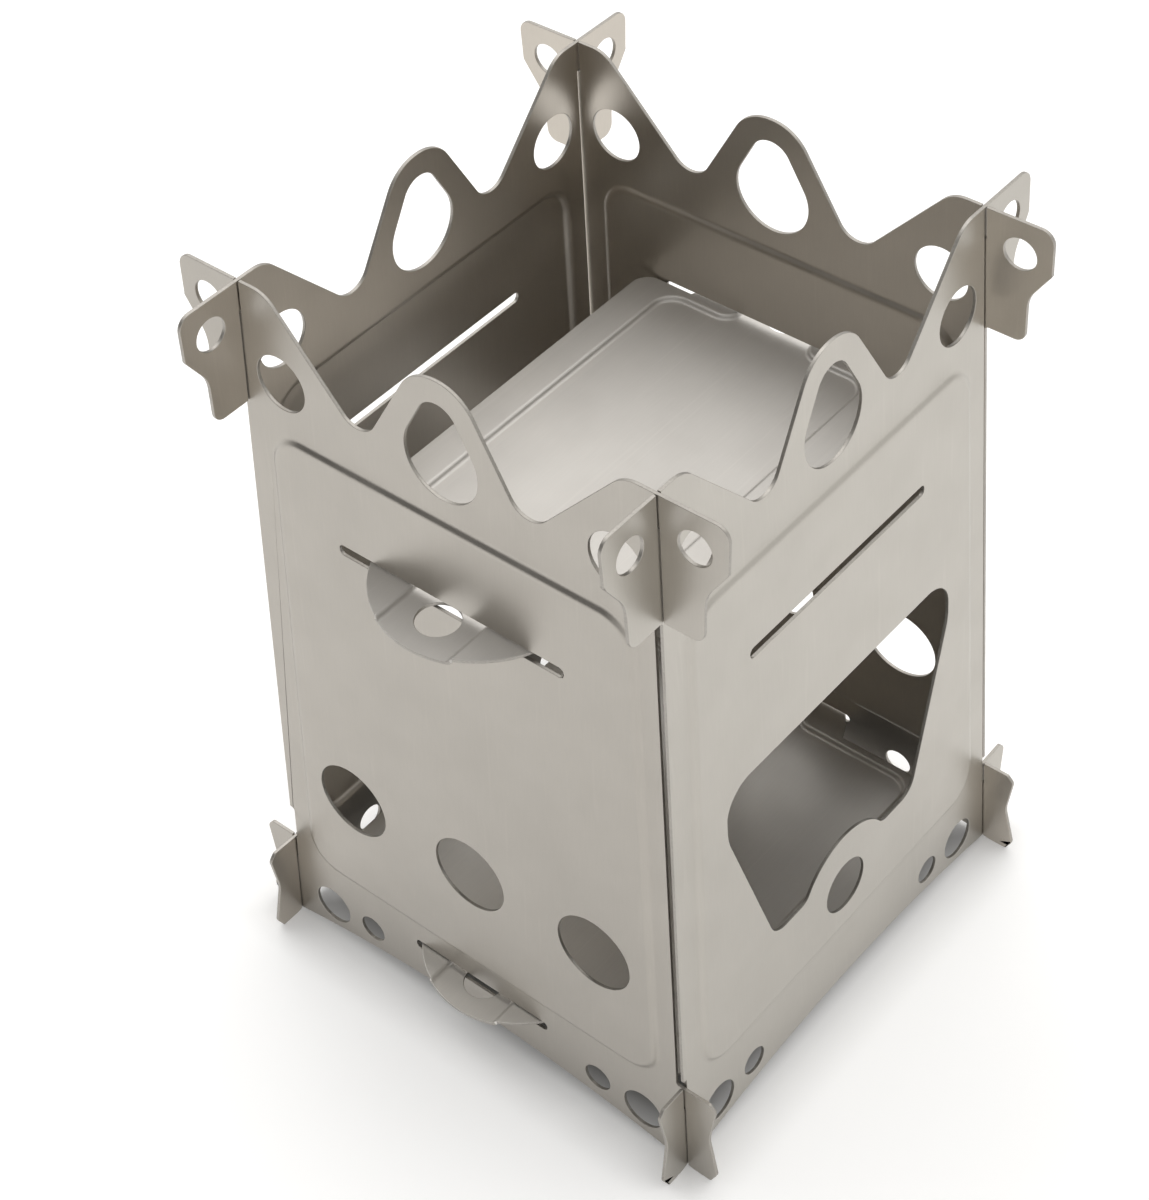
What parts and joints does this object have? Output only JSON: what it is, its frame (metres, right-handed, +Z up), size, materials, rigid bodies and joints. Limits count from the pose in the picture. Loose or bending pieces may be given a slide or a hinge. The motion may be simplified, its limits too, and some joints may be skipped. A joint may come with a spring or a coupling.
{
  "type": "backpacking wood stove",
  "caption": "Flat-pack backpacking wood stove: pressed sheet-metal walls that lap at the corners, dished plates on tabs, a pot crown and a fuel opening.",
  "frame": {"origin": "on the ground under the middle of the stove", "axes": "+Z up; the front wall faces -Y and the wall with the fuel opening faces +X"},
  "size_m": [0.1334, 0.1334, 0.187],
  "materials": {
    "wall_sheet": "satin rolled titanium",
    "plate_sheet": "satin rolled titanium"
  },
  "bodies": {
    "stove": {"front_wall": "wall_sheet", "right_wall": "wall_sheet", "back_wall": "wall_sheet", "upper_plate": "plate_sheet", "lower_plate": "plate_sheet"},
    "lift_out_wall": {"left_wall": "wall_sheet"}
  },
  "joints": [
    {"name": "left_wall_lift", "type": "slide", "parent": "stove", "child": "lift_out_wall", "axis": [0.0436, 0, 0.999], "range_m": [0, 0.00725]}
  ]
}
